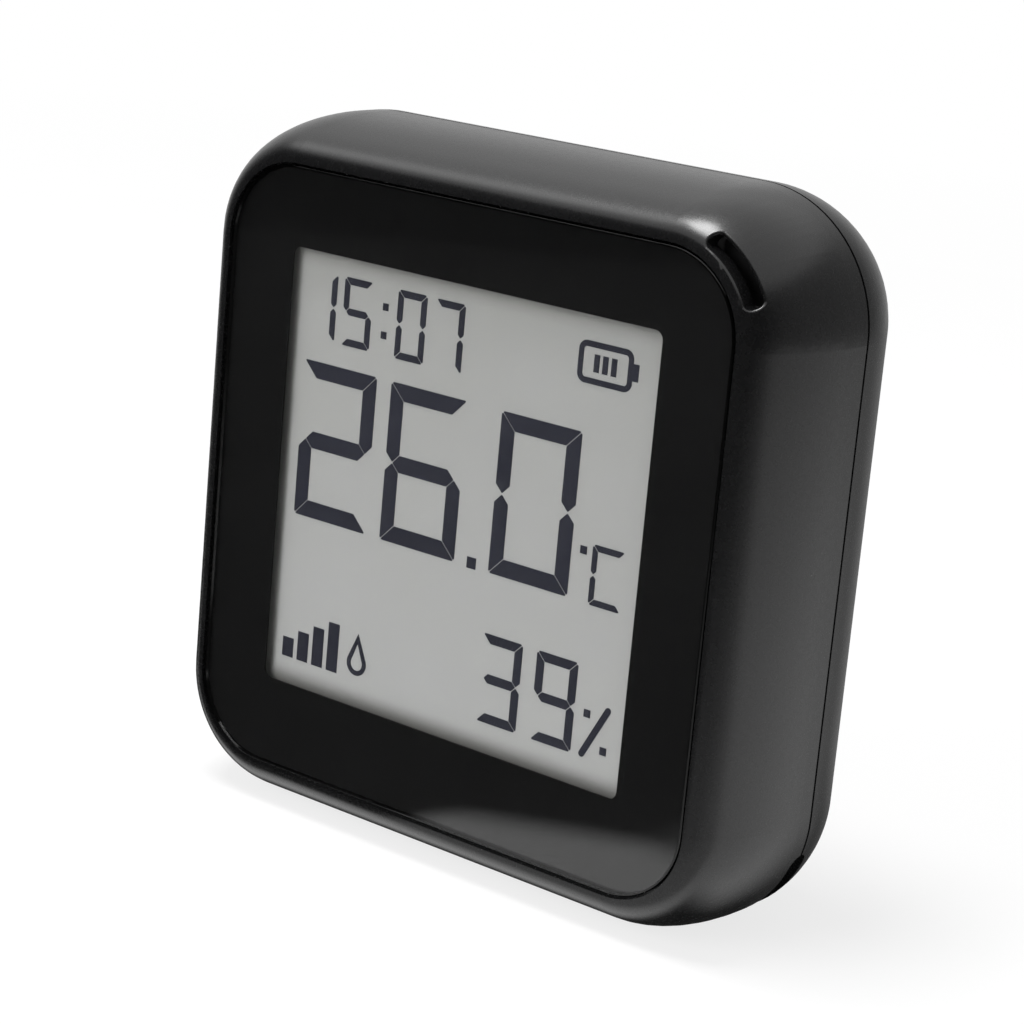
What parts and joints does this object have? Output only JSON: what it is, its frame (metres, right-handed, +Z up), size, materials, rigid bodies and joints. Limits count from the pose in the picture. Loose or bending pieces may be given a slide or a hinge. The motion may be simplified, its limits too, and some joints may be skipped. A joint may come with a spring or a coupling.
{
  "type": "temperature humidity sensor",
  "caption": "Rounded square room sensor with a recessed segment display behind a flush pane, a curved air slot, a pull-off back cover with wall keyholes, and a tray of dry cells.",
  "frame": {"origin": "centre of the body's width and depth, at the level of its flat foot", "axes": "+Z up, -Y towards the display, +Y out of the back cover, +X to the right as seen from the front"},
  "size_m": [0.07, 0.026, 0.0694],
  "materials": {
    "shell_black": "satin moulded plastic",
    "clear_pane": "polished clear pane",
    "border_black": "smooth black print",
    "display_grey": "matt reflective film",
    "segment_dark": "matt dark print",
    "display_glass": "polished thin glass",
    "foam_grey": "fine closed foam",
    "ribbon_amber": "smooth film",
    "connector_cream": "moulded",
    "board_black": "black solder mask",
    "chip_black": "moulded package",
    "nickel_sheet": "nickel plated sheet",
    "tongue_black": "moulded",
    "button_grey": "moulded",
    "tray_grey": "moulded",
    "cell_sleeve": "plain printed sleeve",
    "screw_steel": "zinc plated"
  },
  "bodies": {
    "body": {"front_housing": "shell_black", "front_lens": "clear_pane", "lens_mask": "border_black", "display_film": "display_grey", "display_segments": "segment_dark", "display_backplane": "display_glass", "display_foam": "foam_grey", "display_flex": "ribbon_amber", "display_connector": "connector_cream", "main_pcb": "board_black", "radio_board": "board_black", "circuit_parts": "chip_black", "humidity_sensor": "chip_black", "radio_shield": "nickel_sheet", "usb_c_shell": "nickel_sheet", "usb_c_tongue": "tongue_black", "sensor_seal": "foam_grey", "reset_switch": "tongue_black", "battery_tray": "tray_grey", "cell_1": "cell_sleeve", "cell_2": "cell_sleeve", "cell_3": "cell_sleeve", "cell_4": "cell_sleeve", "positive_terminal": "nickel_sheet", "negative_terminal": "nickel_sheet", "bridge_contacts": "nickel_sheet", "tray_screws": "screw_steel"},
    "cover": {"back_cover": "shell_black"},
    "button": {"reset_button": "button_grey"}
  },
  "joints": [
    {"name": "cover_pull", "type": "slide", "parent": "body", "child": "cover", "axis": [0, 1, 0], "range_m": [0, 0.025]},
    {"name": "reset_press", "type": "slide", "parent": "body", "child": "button", "axis": [0, -1, 0], "range_m": [0, 0.00025], "stiffness_N_per_m": 400}
  ]
}
